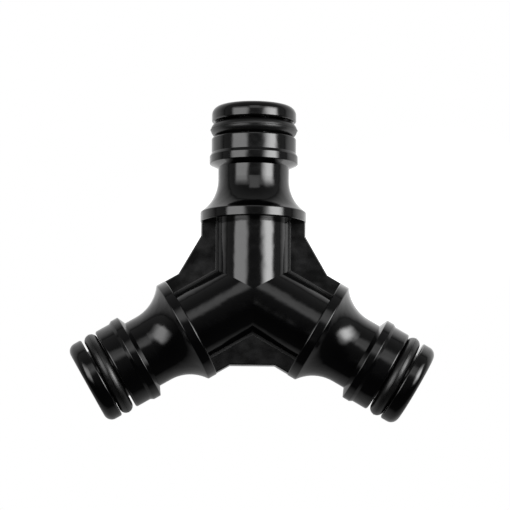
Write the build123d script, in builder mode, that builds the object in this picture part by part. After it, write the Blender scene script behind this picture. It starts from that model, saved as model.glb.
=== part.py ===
"""Three-way push-fit hose connector: one moulded body and three rubber O-rings.

Frame: millimetres, origin where the three arm axes meet, arms in the XY plane, one arm
along +Y and the others 120 degrees either side of it, +Z up.
"""
from build123d import *
from math import acos, cos, degrees, radians, sin, tan
import os

# ---- Layout: "top" points along +Y, the others follow anticlockwise ---------------
arm_names = ["top", "left", "right"]

# ---- Spigot: land, O-ring groove and nose flange ----------------------------------
spigot_d = 16.0               # what slides into the coupling
land_length = 3.0
land_edge_r = 0.4             # beside the groove
groove_length = 3.0
groove_depth = 2.5
nose_length = 3.0
nose_tip_r = 1.6              # outer edge at the tip
nose_back_r = 0.35            # outer edge beside the groove

# ---- Water bore, and the walls round it -------------------------------------------
groove_wall = 1.1             # under the O-ring groove
neck_wall = 2.3
hub_wall = 2.5
bore_mouth_r = 0.5

# ---- Ridge that the coupling's claws hold behind ----------------------------------
ridge_height = 0.35           # above the land
ridge_length = 1.4            # the cylindrical top
ridge_lead_length = 0.6       # slope down to the land
ridge_back_length = 0.75      # slope down to the neck
ridge_edge_r = 0.2

# ---- Neck, and the flare from it to the collar's rim ------------------------------
neck_length = 2.35            # the straight stretch
flare_r = 7.5                 # radius of the hollow curve
flare_height = 3.3            # from the neck to the collar's rim

# ---- Collar -----------------------------------------------------------------------
collar_length = 1.85
collar_edge_r = 0.3

# ---- Hub: three tubes that meet in mitre lines, and the web between them ----------
hub_length = 13.3             # from the junction to each collar
web_thickness = 3.6
web_inset = 0.2               # of the web's sides, inside the collar's rim
web_side_length = 2.8         # from the collar to the cut across the corner
web_rim_r = 0.25
web_root_r = 0.6              # hollow, where the web meets a tube

# ---- O-ring -----------------------------------------------------------------------
ring_section_d = 2.62
ring_seat_clearance = 0.03    # between the ring and the root of its groove
ring_flash_height = 0.13      # fine moulding line round the outside
ring_flash_width = 0.5
ring_tilts = [0.0, -1.2, 1.2]    # how each ring sits in its groove, about +Z

# ---- Radii ------------------------------------------------------------------------
spigot_r = spigot_d / 2
groove_r = spigot_r - groove_depth
bore_r = groove_r - groove_wall
neck_r = bore_r + neck_wall
hub_r = bore_r + hub_wall
ridge_r = spigot_r + ridge_height
collar_r = neck_r + flare_height
ring_section_r = ring_section_d / 2
ring_middle_r = groove_r + ring_seat_clearance + ring_section_r

# ---- Stations along an arm, from the junction to the tip --------------------------
flare_angle = acos(1 - flare_height / flare_r)
collar_end = hub_length + collar_length
neck_start = collar_end + flare_r * sin(flare_angle)
neck_end = neck_start + neck_length
ridge_start = neck_end + ridge_back_length
ridge_end = ridge_start + ridge_length
land_start = ridge_end + ridge_lead_length
groove_start = land_start + land_length
groove_end = groove_start + groove_length
groove_middle = (groove_start + groove_end) / 2
tip = groove_end + nose_length

# ---- Web outline ------------------------------------------------------------------
arm_spacing = 360 / len(arm_names)
web_side = collar_r - web_inset
web_corner = hub_length - web_side_length
tube_end = hub_length + collar_length / 2    # tubes and web end inside the collar
root_reach = hub_r + web_root_r              # the hollows end within this of the axis
mitre_rise = root_reach / tan(radians(arm_spacing / 2))    # of a mitre line, over that reach


def corner_near(sketch, x, y):
    """Return the corner of a sketch that lies nearest to a point."""
    return sketch.vertices().sort_by_distance((x, y, 0))[0]


def web_points():
    """Return the corners of the web's outline, arm by arm."""
    points = []
    for index in range(len(arm_names)):
        turn = radians(arm_spacing * index)
        for x, y in [(web_side, web_corner), (web_side, tube_end),
                     (-web_side, tube_end), (-web_side, web_corner)]:
            points.append((x * cos(turn) - y * sin(turn), x * sin(turn) + y * cos(turn)))
    return points


# ---- One arm, solid, along +Y, from its collar to the tip -------------------------
with BuildPart() as arm:
    with BuildSketch(Plane.XY) as arm_section:
        with BuildLine() as arm_outline:
            Polyline((neck_r, neck_start), (neck_r, neck_end), (ridge_r, ridge_start),
                     (ridge_r, ridge_end), (spigot_r, land_start),
                     (spigot_r, groove_start), (groove_r, groove_start),
                     (groove_r, groove_end), (spigot_r, groove_end), (spigot_r, tip),
                     (0, tip), (0, hub_length), (collar_r, hub_length),
                     (collar_r, collar_end))
            CenterArc((neck_r + flare_r, neck_start), flare_r, 180, degrees(flare_angle))
        make_face()
        fillet(corner_near(arm_section, spigot_r, tip), nose_tip_r)
        fillet(corner_near(arm_section, spigot_r, groove_end), nose_back_r)
        fillet(corner_near(arm_section, spigot_r, groove_start), land_edge_r)
        fillet(corner_near(arm_section, ridge_r, ridge_start), ridge_edge_r)
        fillet(corner_near(arm_section, ridge_r, ridge_end), ridge_edge_r)
        fillet(corner_near(arm_section, collar_r, collar_end), collar_edge_r)
        fillet(corner_near(arm_section, collar_r, hub_length), collar_edge_r)
    revolve(axis=Axis.Y)

# ---- One tube of the hub, solid, with a hollow along each root of the web, and cut
# to the two mitre lines where it meets its neighbours ------------------------------
with BuildPart() as tube:
    with BuildSketch(Plane.XZ) as tube_section:
        Circle(hub_r)
        Rectangle(2 * root_reach, web_thickness)
        roots = tube_section.vertices().sort_by_distance((0, 0, 0))[:4]
        fillet(roots, web_root_r)
    extrude(amount=-tube_end)
    with BuildSketch(Plane.XY) as mitre_face:
        with BuildLine() as mitre_outline:
            Polyline((0, 0), (root_reach, mitre_rise), (root_reach, tube_end),
                     (-root_reach, tube_end), (-root_reach, mitre_rise), close=True)
        make_face()
    extrude(amount=collar_r, both=True, mode=Mode.INTERSECT)

# ---- The water way of one arm, from the junction to its rounded mouth -------------
with BuildPart() as bore:
    with BuildSketch(Plane.XY) as bore_section:
        with BuildLine() as bore_outline:
            Polyline((bore_r + bore_mouth_r, tip), (0, tip), (0, 0), (bore_r, 0),
                     (bore_r, tip - bore_mouth_r))
            CenterArc((bore_r + bore_mouth_r, tip - bore_mouth_r), bore_mouth_r, 90, 90)
        make_face()
    revolve(axis=Axis.Y)

# ---- Web: one flat plate in the plane of the arms ---------------------------------
with BuildPart() as web:
    with BuildSketch(Plane.XY) as web_face:
        with BuildLine() as web_outline:
            Polyline(*web_points(), close=True)
        make_face()
    extrude(amount=web_thickness / 2, both=True)
    rims = web.edges().filter_by(Plane.XY).group_by(Axis.Z)
    fillet(rims[0] + rims[-1], web_rim_r)

# ---- Body: all of it in one moulding, with the water ways through it --------------
with BuildPart() as body:
    add(web.part)
    with PolarLocations(0, len(arm_names)):
        add(tube.part)
    with PolarLocations(0, len(arm_names)):
        add(arm.part)
    with PolarLocations(0, len(arm_names)):
        add(bore.part, mode=Mode.SUBTRACT)

# ---- O-ring round +Y, centred on the origin ---------------------------------------
with BuildPart() as ring:
    with BuildSketch(Plane.XY) as ring_section:
        with Locations((ring_middle_r, 0)):
            Circle(ring_section_r)
        with Locations((ring_middle_r + ring_section_r, 0)):
            Polygon((-ring_section_r, -ring_flash_width), (ring_flash_height, 0),
                    (-ring_section_r, ring_flash_width), align=None)
    revolve(axis=Axis.Y)

# ---- Finished pieces --------------------------------------------------------------
os.makedirs("parts", exist_ok=True)
body.part.label = "body"
export_step(body.part, "parts/body.step")

for index, arm_name in enumerate(arm_names):
    arm_turn = Location((0, 0, 0), (0, 0, arm_spacing * index))
    ring_seat = Location((0, groove_middle, 0), (0, 0, ring_tilts[index]))
    with BuildPart() as o_ring:
        with Locations(arm_turn * ring_seat):
            add(ring.part)
    o_ring.part.label = f"o_ring_{arm_name}"
    export_step(o_ring.part, f"parts/o_ring_{arm_name}.step")
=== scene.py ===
"""Dresses a three-way push-fit hose connector: a glossy black moulding with satin O-rings.

Lengths are metres in the part's own frame: the arm axes meet at the origin, the top arm
points along +Y, +Z is up, and the connector lies on the rims of its three collars.
"""

import logging
import math
from dataclasses import dataclass
from enum import Enum

import bpy
from mathutils import Matrix, Vector


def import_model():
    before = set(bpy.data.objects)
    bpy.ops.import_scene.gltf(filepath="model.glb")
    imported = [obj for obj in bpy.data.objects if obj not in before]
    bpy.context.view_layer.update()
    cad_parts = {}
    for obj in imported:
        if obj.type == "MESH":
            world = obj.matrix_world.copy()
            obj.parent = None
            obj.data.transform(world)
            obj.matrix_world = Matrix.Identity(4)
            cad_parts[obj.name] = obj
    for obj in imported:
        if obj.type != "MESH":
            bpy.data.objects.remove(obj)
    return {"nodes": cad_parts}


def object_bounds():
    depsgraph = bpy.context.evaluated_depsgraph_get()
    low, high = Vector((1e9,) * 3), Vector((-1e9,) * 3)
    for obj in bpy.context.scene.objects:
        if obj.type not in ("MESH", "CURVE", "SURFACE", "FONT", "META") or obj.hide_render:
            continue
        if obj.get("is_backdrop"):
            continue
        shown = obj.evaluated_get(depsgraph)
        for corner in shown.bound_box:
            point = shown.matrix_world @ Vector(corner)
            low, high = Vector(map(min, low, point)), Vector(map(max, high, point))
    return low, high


MM = 0.001
IMAGE_PIXELS = 510
SENSOR_WIDTH_MM = 36.0

EAST = Vector((1.0, 0.0, 0.0))
NORTH = Vector((0.0, 1.0, 0.0))
UP = Vector((0.0, 0.0, 1.0))

log = logging.getLogger("hose_connector")


class Slot(Enum):
    """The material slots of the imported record."""

    MOULDING = "moulding"
    SEAL = "seal"


class Arm(Enum):
    """The three arms, each with its direction in the XY plane, in degrees from +X."""

    TOP = 90.0
    LEFT = 210.0
    RIGHT = 330.0

    def direction(self) -> Vector:
        """Return the unit vector from the junction along the arm."""
        angle = math.radians(self.value)
        return Vector((math.cos(angle), math.sin(angle), 0.0))


class ShaderGraph:
    """A small helper that adds and links the nodes of a material or a world."""

    def __init__(self, name: str) -> None:
        """Start an empty material.

        Args:
            name: the name that the material gets.
        """
        self.material = bpy.data.materials.new(name)
        self.material.use_nodes = True
        self._clear(self.material.node_tree, "ShaderNodeOutputMaterial")

    @classmethod
    def of_world(cls, world: bpy.types.World) -> "ShaderGraph":
        """Take up a world's nodes instead of a material's.

        Args:
            world: the world, whose nodes are emptied.

        Returns:
            The graph that holds them.
        """
        graph = cls.__new__(cls)
        world.use_nodes = True
        graph._clear(world.node_tree, "ShaderNodeOutputWorld")
        return graph

    def _clear(self, tree: bpy.types.NodeTree, output: str) -> None:
        """Take up a node tree, empty it and give it one output node.

        Args:
            tree: the node tree.
            output: the type of its output node.
        """
        self.tree = tree
        self.tree.nodes.clear()
        self.output = self.add(output)

    def add(self, kind: str, **settings: object) -> bpy.types.Node:
        """Add one node.

        Args:
            kind: the node's type, such as ShaderNodeMath.
            settings: properties of the node to set.

        Returns:
            The new node.
        """
        node = self.tree.nodes.new(kind)
        for key, value in settings.items():
            setattr(node, key, value)
        return node

    def link(self, source: bpy.types.NodeSocket, target: bpy.types.NodeSocket) -> None:
        """Join an output socket to an input socket."""
        self.tree.links.new(source, target)

    def math(self, operation: str, *values: object) -> bpy.types.NodeSocket:
        """Add a Math node.

        Args:
            operation: the node's operation, such as MULTIPLY.
            values: a number or an output socket for each input.

        Returns:
            The socket with the result.
        """
        node = self.add("ShaderNodeMath", operation=operation)
        for index, value in enumerate(values):
            self._feed(node.inputs[index], value)
        return node.outputs[0]

    def dot(self, vector: bpy.types.NodeSocket, direction: Vector) -> bpy.types.NodeSocket:
        """Measure a vector along a fixed direction.

        Args:
            vector: the socket with the vector.
            direction: the direction, a unit vector.

        Returns:
            The socket with the dot product.
        """
        node = self.add("ShaderNodeVectorMath", operation="DOT_PRODUCT")
        self.link(vector, node.inputs[0])
        node.inputs[1].default_value = direction
        return node.outputs["Value"]

    def length(self, vector: bpy.types.NodeSocket) -> bpy.types.NodeSocket:
        """Measure how long a vector is.

        Args:
            vector: the socket with the vector.

        Returns:
            The socket with its length.
        """
        node = self.add("ShaderNodeVectorMath", operation="LENGTH")
        self.link(vector, node.inputs[0])
        return node.outputs["Value"]

    def ramp(self, value: bpy.types.NodeSocket, start: float, end: float,
             low: float, high: float) -> bpy.types.NodeSocket:
        """Go evenly from one number to another, and stay there.

        Args:
            value: the socket that is mapped.
            start: where the change starts.
            end: where it ends.
            low: the result at the start.
            high: the result at the end.

        Returns:
            The socket with the result.
        """
        node = self.add("ShaderNodeMapRange")
        self.link(value, node.inputs["Value"])
        node.inputs["From Min"].default_value = start
        node.inputs["From Max"].default_value = end
        node.inputs["To Min"].default_value = low
        node.inputs["To Max"].default_value = high
        return node.outputs["Result"]

    def window(self, value: bpy.types.NodeSocket, edges: tuple[float, float],
               blurs: tuple[float, float]) -> bpy.types.NodeSocket:
        """Return 1 between two edges and 0 outside them, with soft changes.

        Args:
            value: the socket that is compared.
            edges: the lower and the upper edge.
            blurs: the width of the change at each edge.

        Returns:
            The socket with the result.
        """
        below = self.step_down(value, edges[0], blurs[0])
        return self.math("SUBTRACT", self.step_down(value, edges[1], blurs[1]), below)

    def step_down(self, value: bpy.types.NodeSocket, edge: float,
                  blur: float) -> bpy.types.NodeSocket:
        """Return 1 below an edge and 0 above it, with a soft change.

        Args:
            value: the socket that is compared.
            edge: where the change lies.
            blur: the width of the change.

        Returns:
            The socket with the result.
        """
        node = self.add("ShaderNodeMapRange", interpolation_type="SMOOTHSTEP")
        self.link(value, node.inputs["Value"])
        node.inputs["From Min"].default_value = edge - blur / 2
        node.inputs["From Max"].default_value = edge + blur / 2
        node.inputs["To Min"].default_value = 1.0
        node.inputs["To Max"].default_value = 0.0
        return node.outputs["Result"]

    def noise(self, coordinates: bpy.types.NodeSocket, grain: float,
              detail: float = 2.0) -> bpy.types.NodeSocket:
        """Add an even noise.

        Args:
            coordinates: the object coordinates.
            grain: the size of one blotch, in metres.
            detail: how many finer octaves are added.

        Returns:
            The socket with values about 0.5.
        """
        node = self.add("ShaderNodeTexNoise")
        node.inputs["Scale"].default_value = 1.0 / grain
        node.inputs["Detail"].default_value = detail
        self.link(coordinates, node.inputs["Vector"])
        return node.outputs["Fac"]

    def blend(self, factor: bpy.types.NodeSocket, low: object,
              high: object) -> bpy.types.NodeSocket:
        """Go from one value to another.

        Args:
            factor: where 0 gives the first and 1 the second.
            low: the first, a number or a socket.
            high: the second, a number or a socket.

        Returns:
            The socket with the result.
        """
        node = self.add("ShaderNodeMix", data_type="FLOAT")
        self.link(factor, node.inputs["Factor"])
        self._feed(node.inputs["A"], low)
        self._feed(node.inputs["B"], high)
        return node.outputs["Result"]

    def bump(self, height: bpy.types.NodeSocket, depth: float,
             normal: bpy.types.NodeSocket | None = None) -> bpy.types.NodeSocket:
        """Raise a surface by a height map.

        Args:
            height: the map, 0 to 1.
            depth: what 1 is, in metres.
            normal: another bump's normal to build on.

        Returns:
            The socket with the normal.
        """
        node = self.add("ShaderNodeBump")
        node.inputs["Distance"].default_value = depth
        self.link(height, node.inputs["Height"])
        if normal is not None:
            self.link(normal, node.inputs["Normal"])
        return node.outputs["Normal"]

    def _feed(self, socket: bpy.types.NodeSocket, value: object) -> None:
        """Link a socket, or set a number, on an input.

        Args:
            socket: the input.
            value: a number or an output socket.
        """
        if isinstance(value, bpy.types.NodeSocket):
            self.link(value, socket)
        else:
            socket.default_value = value


@dataclass(frozen=True)
class MouldedPlastic:
    """Black polished plastic with faint sink marks, and a duller, mottled web."""

    base: tuple[float, float, float] = (0.0006, 0.0006, 0.0007)
    web_base: tuple[float, float, float] = (0.0011, 0.0011, 0.0012)
    web_mottle: float = 0.6
    mottle_grain: float = 2.4 * MM
    mottle_detail: float = 3.0
    mottle_span: tuple[float, float] = (0.35, 0.65)
    ior: float = 1.5
    gloss_roughness: float = 0.13
    web_roughness: tuple[float, float] = (0.15, 0.25)
    sink_grain: float = 4.5 * MM
    sink_depth: float = 0.11 * MM
    skin_grain: float = 0.35 * MM
    skin_depth: float = 0.0012 * MM
    skin_detail: float = 1.0
    web_face: float = 1.81 * MM
    face_blur: float = 0.02 * MM
    web_root: float = 2.2 * MM
    root_roughness: float = 0.8
    hub_length: float = 13.3 * MM
    mask_blur: float = 0.1 * MM

    def build(self) -> bpy.types.Material:
        """Make the plastic.

        Returns:
            The material.
        """
        graph = ShaderGraph("moulded_plastic")
        place = graph.add("ShaderNodeTexCoord").outputs["Object"]
        web = self._web_mask(graph, place, self.web_root, self.mask_blur)
        face = self._web_mask(graph, place, self.web_face, self.face_blur)
        mottle = graph.noise(place, self.mottle_grain, self.mottle_detail)
        shader = graph.add("ShaderNodeBsdfPrincipled")
        shader.inputs["IOR"].default_value = self.ior
        graph.link(self._colour(graph, web, mottle), shader.inputs["Base Color"])
        dull = graph.ramp(mottle, *self.mottle_span, *self.web_roughness)
        dull = graph.blend(face, self.root_roughness, dull)
        graph.link(graph.blend(web, self.gloss_roughness, dull), shader.inputs["Roughness"])
        graph.link(self._skin(graph, place), shader.inputs["Normal"])
        graph.link(shader.outputs["BSDF"], graph.output.inputs["Surface"])
        return graph.material

    def _web_mask(self, graph: ShaderGraph, place: bpy.types.NodeSocket,
                  top: float, blur: float) -> bpy.types.NodeSocket:
        """Return 1 on the hub up to a height either side of the middle, 0 elsewhere.

        Args:
            graph: the material's nodes.
            place: the object coordinates.
            top: the height, in metres.
            blur: the width of the mask's upper edge, in metres.

        Returns:
            The socket with the mask.
        """
        stations = [graph.dot(place, arm.direction()) for arm in Arm]
        farthest = graph.math("MAXIMUM", graph.math("MAXIMUM", *stations[:2]), stations[2])
        in_hub = graph.step_down(farthest, self.hub_length, self.mask_blur)
        height = graph.math("ABSOLUTE", graph.dot(place, UP))
        low = graph.step_down(height, top, blur)
        return graph.math("MULTIPLY", in_hub, low)

    def _colour(self, graph: ShaderGraph, web: bpy.types.NodeSocket,
                mottle: bpy.types.NodeSocket) -> bpy.types.NodeSocket:
        """Mix the base colour, paler and blotched on the web.

        Args:
            graph: the material's nodes.
            web: the mask of the web.
            mottle: the noise of the blotches.

        Returns:
            The socket with the colour.
        """
        pale = graph.ramp(mottle, *self.mottle_span,
                          1.0 - self.web_mottle, 1.0 + self.web_mottle)
        tone = graph.add("ShaderNodeVectorMath", operation="SCALE")
        tone.inputs[0].default_value = self.web_base
        graph.link(pale, tone.inputs["Scale"])
        mix = graph.add("ShaderNodeMix", data_type="RGBA")
        graph.link(web, mix.inputs["Factor"])
        mix.inputs["A"].default_value = (*self.base, 1.0)
        graph.link(tone.outputs["Vector"], mix.inputs["B"])
        return mix.outputs["Result"]

    def _skin(self, graph: ShaderGraph,
              place: bpy.types.NodeSocket) -> bpy.types.NodeSocket:
        """Return the normal of a skin with shallow sink marks and a fine grain.

        Args:
            graph: the material's nodes.
            place: the object coordinates.

        Returns:
            The socket with the normal.
        """
        sinks = graph.bump(graph.noise(place, self.sink_grain), self.sink_depth)
        grain = graph.noise(place, self.skin_grain, self.skin_detail)
        return graph.bump(grain, self.skin_depth, sinks)


@dataclass(frozen=True)
class SatinRubber:
    """Black rubber with a soft sheen and a fine bloom."""

    base: tuple[float, float, float] = (0.0015, 0.0015, 0.0015)
    ior: float = 1.5
    roughness: tuple[float, float] = (0.31, 0.38)
    bloom_grain: float = 0.9 * MM
    bloom_detail: float = 3.0
    bloom_span: tuple[float, float] = (0.3, 0.7)
    grain: float = 0.22 * MM
    grain_depth: float = 0.003 * MM
    grain_detail: float = 1.0

    def build(self) -> bpy.types.Material:
        """Make the rubber.

        Returns:
            The material.
        """
        graph = ShaderGraph("satin_rubber")
        place = graph.add("ShaderNodeTexCoord").outputs["Object"]
        shader = graph.add("ShaderNodeBsdfPrincipled")
        shader.inputs["IOR"].default_value = self.ior
        shader.inputs["Base Color"].default_value = (*self.base, 1.0)
        bloom = graph.noise(place, self.bloom_grain, self.bloom_detail)
        graph.link(graph.ramp(bloom, *self.bloom_span, *self.roughness),
                   shader.inputs["Roughness"])
        pores = graph.noise(place, self.grain, self.grain_detail)
        graph.link(graph.bump(pores, self.grain_depth), shader.inputs["Normal"])
        graph.link(shader.outputs["BSDF"], graph.output.inputs["Surface"])
        return graph.material


def put_on(piece: bpy.types.Object, finish: bpy.types.Material) -> None:
    """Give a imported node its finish.

    Args:
        piece: the node.
        finish: the material that it gets.
    """
    for material_slot in piece.material_slots:
        material_slot.material = finish
    log.info("dressed %s with %s", piece.name, finish.name)


@dataclass
class Body:
    """The one moulding: three spigots with their collars, the hub tubes and the web."""

    finish: MouldedPlastic = MouldedPlastic()
    node: str = "body"

    def dress(self, nodes: dict[str, bpy.types.Object]) -> None:
        """Put the plastic on the body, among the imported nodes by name."""
        put_on(nodes[self.node], self.finish.build())


@dataclass
class Seals:
    """The three O-rings, one in the groove of each spigot."""

    finish: SatinRubber = SatinRubber()
    node_start: str = "o_ring_"

    def dress(self, nodes: dict[str, bpy.types.Object]) -> None:
        """Put the rubber on every ring.

        Args:
            nodes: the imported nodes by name.
        """
        rubber = self.finish.build()
        for arm in Arm:
            put_on(nodes[self.node_start + arm.name.lower()], rubber)


@dataclass(frozen=True)
class SoftBox:
    """One soft light overhead, as a rectangle with blurred edges.

    Its edges are angles from straight up, in degrees: across towards +X, along towards +Y.
    Each blur is the width over which an edge fades. A radiance of 1 is white.
    """

    across: tuple[float, float]
    along: tuple[float, float]
    across_blur: tuple[float, float]
    along_blur: tuple[float, float]
    radiance: float

    def glow(self, graph: ShaderGraph, angle_x: bpy.types.NodeSocket,
             angle_y: bpy.types.NodeSocket) -> bpy.types.NodeSocket:
        """Return its brightness in one direction.

        Args:
            graph: the room's nodes.
            angle_x: the direction's angle from straight up towards +X.
            angle_y: the same towards +Y.

        Returns:
            The socket with the brightness.
        """
        mask = graph.math("MULTIPLY", graph.window(angle_x, self.across, self.across_blur),
                          graph.window(angle_y, self.along, self.along_blur))
        return graph.math("MULTIPLY", mask, self.radiance)


@dataclass(frozen=True)
class Table:
    """A white table that looks evenly white to the camera. In reflections it glows with
    painted light that fades with distance, with painted shadow in front and painted light
    to the right.
    """

    half_width: float = 3.0
    reach: float = 45.0 * MM
    # Painted light: the glow near the connector in reflections, and how it fades with
    # distance.
    painted_near_glow: float = 1.7
    fade: float = 1.2
    # Painted shadow: how dark the front of the table glows in reflections.
    front_span: tuple[float, float] = (-0.6, 0.3)
    painted_front_shadow: float = 0.38
    # Painted light: how much brighter the right of the table glows in reflections.
    painted_right_span: tuple[float, float] = (0.5, 0.9)
    painted_right_light: float = 1.5

    def build(self, height: float) -> None:
        """Lay the table.

        Args:
            height: where its top lies, in metres.
        """
        bpy.ops.mesh.primitive_plane_add(size=2 * self.half_width,
                                         location=(0.0, 0.0, height))
        table = bpy.context.active_object
        table.name = "table"
        bpy.ops.object.transform_apply(location=True, rotation=True, scale=True)
        table.data.materials.append(self._top())
        table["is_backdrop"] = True

    def _top(self) -> bpy.types.Material:
        """Make a top that is white to look at, glows with painted light and shadow in
        reflections, and is clear from below.

        Returns:
            The material.
        """
        graph = ShaderGraph("white_table")
        seen = graph.add("ShaderNodeLightPath").outputs["Is Camera Ray"]
        shine = graph.add("ShaderNodeEmission")
        # Emission: even white to the camera, painted light and shadow in reflections.
        graph.link(graph.math("MAXIMUM", seen, self._painted_glow(graph)), shine.inputs["Strength"])
        clear = graph.add("ShaderNodeBsdfTransparent")
        below = graph.add("ShaderNodeNewGeometry").outputs["Backfacing"]
        one_sided = graph.add("ShaderNodeMixShader")
        graph.link(below, one_sided.inputs["Fac"])
        graph.link(shine.outputs["Emission"], one_sided.inputs[1])
        graph.link(clear.outputs["BSDF"], one_sided.inputs[2])
        graph.link(one_sided.outputs["Shader"], graph.output.inputs["Surface"])
        return graph.material

    def _painted_glow(self, graph: ShaderGraph) -> bpy.types.NodeSocket:
        """Return the painted light of a place on the table as seen in reflections: a glow
        that fades with distance, darkened in front as painted shadow and brightened to the
        right as painted light.

        Args:
            graph: the table's nodes.

        Returns:
            The socket with the brightness.
        """
        place = graph.add("ShaderNodeTexCoord").outputs["Object"]
        radius = graph.length(place)
        steps = graph.math("POWER", graph.math("DIVIDE", radius, self.reach), self.fade)
        falloff = graph.math("DIVIDE", self.painted_near_glow, graph.math("ADD", 1.0, steps))
        back = graph.math("DIVIDE", graph.dot(place, NORTH), radius)
        right = graph.math("DIVIDE", graph.dot(place, EAST), radius)
        # Painted shadow on the front of the table and painted light on its right.
        painted_shade = graph.math("MULTIPLY",
                           graph.ramp(back, *self.front_span, self.painted_front_shadow, 1.0),
                           graph.ramp(right, *self.painted_right_span, 1.0, self.painted_right_light))
        return graph.math("MULTIPLY", falloff, painted_shade)


@dataclass(frozen=True)
class Room:
    """A dim room with two bright soft boxes and a fainter panel in three parts."""

    left_box: SoftBox = SoftBox(
        across=(-60, -19), along=(-15, 25),
        across_blur=(9, 16), along_blur=(26, 34), radiance=5.6)
    right_box: SoftBox = SoftBox(
        across=(30.5, 62), along=(-9, 29),
        across_blur=(27, 15), along_blur=(34, 40), radiance=14.6)
    left_panel: SoftBox = SoftBox(
        across=(-60, -11), along=(13, 37.5),
        across_blur=(12, 4), along_blur=(13, 11), radiance=1.15)
    middle_panel: SoftBox = SoftBox(
        across=(-15, 16), along=(14, 46),
        across_blur=(4, 4), along_blur=(13, 6), radiance=1.7)
    right_panel: SoftBox = SoftBox(
        across=(12, 60), along=(13, 38.5),
        across_blur=(4, 12), along_blur=(13, 11), radiance=1.35)
    wall_tilts: tuple[float, float] = (48.0, 85.0)
    wall_glow: tuple[float, float] = (0.13, 0.33)
    front_span: tuple[float, float] = (-0.45, 0.15)
    front_dimming: tuple[float, float] = (0.1, 1.0)
    just_over_one: float = 1.0001

    def build(self) -> None:
        """Light the room: the soft boxes, and grey walls that are darkest in front."""
        world = bpy.data.worlds.new("room")
        graph = ShaderGraph.of_world(world)
        way = graph.add("ShaderNodeTexCoord").outputs["Generated"]
        x, y, z = (graph.dot(way, axis) for axis in (EAST, NORTH, UP))
        tilt = graph.math("DEGREES", graph.math("ARCCOSINE", z))
        squared = graph.math("MULTIPLY", z, z)
        level = graph.math("SQRT", graph.math("SUBTRACT", self.just_over_one, squared))
        scale = graph.math("DIVIDE", tilt, level)
        angle_x = graph.math("MULTIPLY", x, scale)
        angle_y = graph.math("MULTIPLY", y, scale)
        light = graph.math("MULTIPLY",
                           graph.ramp(tilt, *self.wall_tilts, *self.wall_glow),
                           graph.ramp(y, *self.front_span, *self.front_dimming))
        for box in (self.left_box, self.right_box,
                    self.left_panel, self.middle_panel, self.right_panel):
            light = graph.math("MAXIMUM", light, box.glow(graph, angle_x, angle_y))
        background = graph.add("ShaderNodeBackground")
        graph.link(light, background.inputs["Strength"])
        graph.link(background.outputs["Background"], graph.output.inputs["Surface"])
        bpy.context.scene.world = world


@dataclass(frozen=True)
class Viewpoint:
    """The camera, a little in front of straight above the junction."""

    distance: float = 0.438
    tilt_side: float = -1.42
    tilt_front: float = 6.47
    roll: float = 0.47
    pixels_per_mm: float = 5.315
    junction_pixel: tuple[float, float] = (252.45, 292.65)
    clip_factor: float = 100.0

    def build(self) -> None:
        """Add the camera, aim it and make it the scene's."""
        data = bpy.data.cameras.new("camera")
        data.sensor_width = SENSOR_WIDTH_MM
        pixel = self.pixels_per_mm / MM
        data.lens = pixel * self.distance / IMAGE_PIXELS * SENSOR_WIDTH_MM
        camera = bpy.data.objects.new("camera", data)
        bpy.context.scene.collection.objects.link(camera)
        place = Vector((math.tan(math.radians(self.tilt_side)),
                        -math.tan(math.radians(self.tilt_front)), 1.0))
        place = place.normalized() * self.distance
        middle = (IMAGE_PIXELS - 1) / 2
        across = (middle - self.junction_pixel[0]) / pixel
        up = (self.junction_pixel[1] - middle) / pixel
        aim = Vector((across, up, 0.0))
        look = (aim - place).normalized()
        right = look.cross(NORTH).normalized()
        turn = Matrix.Rotation(-math.radians(self.roll), 3, look)
        right = turn @ right
        above = right.cross(look)
        camera.matrix_world = Matrix((
            (right.x, above.x, -look.x, place.x),
            (right.y, above.y, -look.y, place.y),
            (right.z, above.z, -look.z, place.z),
            (0.0, 0.0, 0.0, 1.0)))
        data.clip_start = self.distance / self.clip_factor
        data.clip_end = self.distance * self.clip_factor
        bpy.context.scene.camera = camera
        bpy.context.scene.view_settings.view_transform = "Standard"


def corners() -> list[list[float]]:
    """Return the lowest and highest corner of what shows, as plain lists."""
    return [list(corner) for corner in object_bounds()]


def main() -> None:
    """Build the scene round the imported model."""
    logging.basicConfig(level=logging.INFO, format="%(message)s")
    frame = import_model()
    cad_box = corners()
    for assembly in (Body(), Seals()):
        assembly.dress(frame["nodes"])
    lowest = cad_box[0][2]
    Table().build(lowest)
    Room().build()
    Viewpoint().build()


if __name__ == "__main__":
    main()
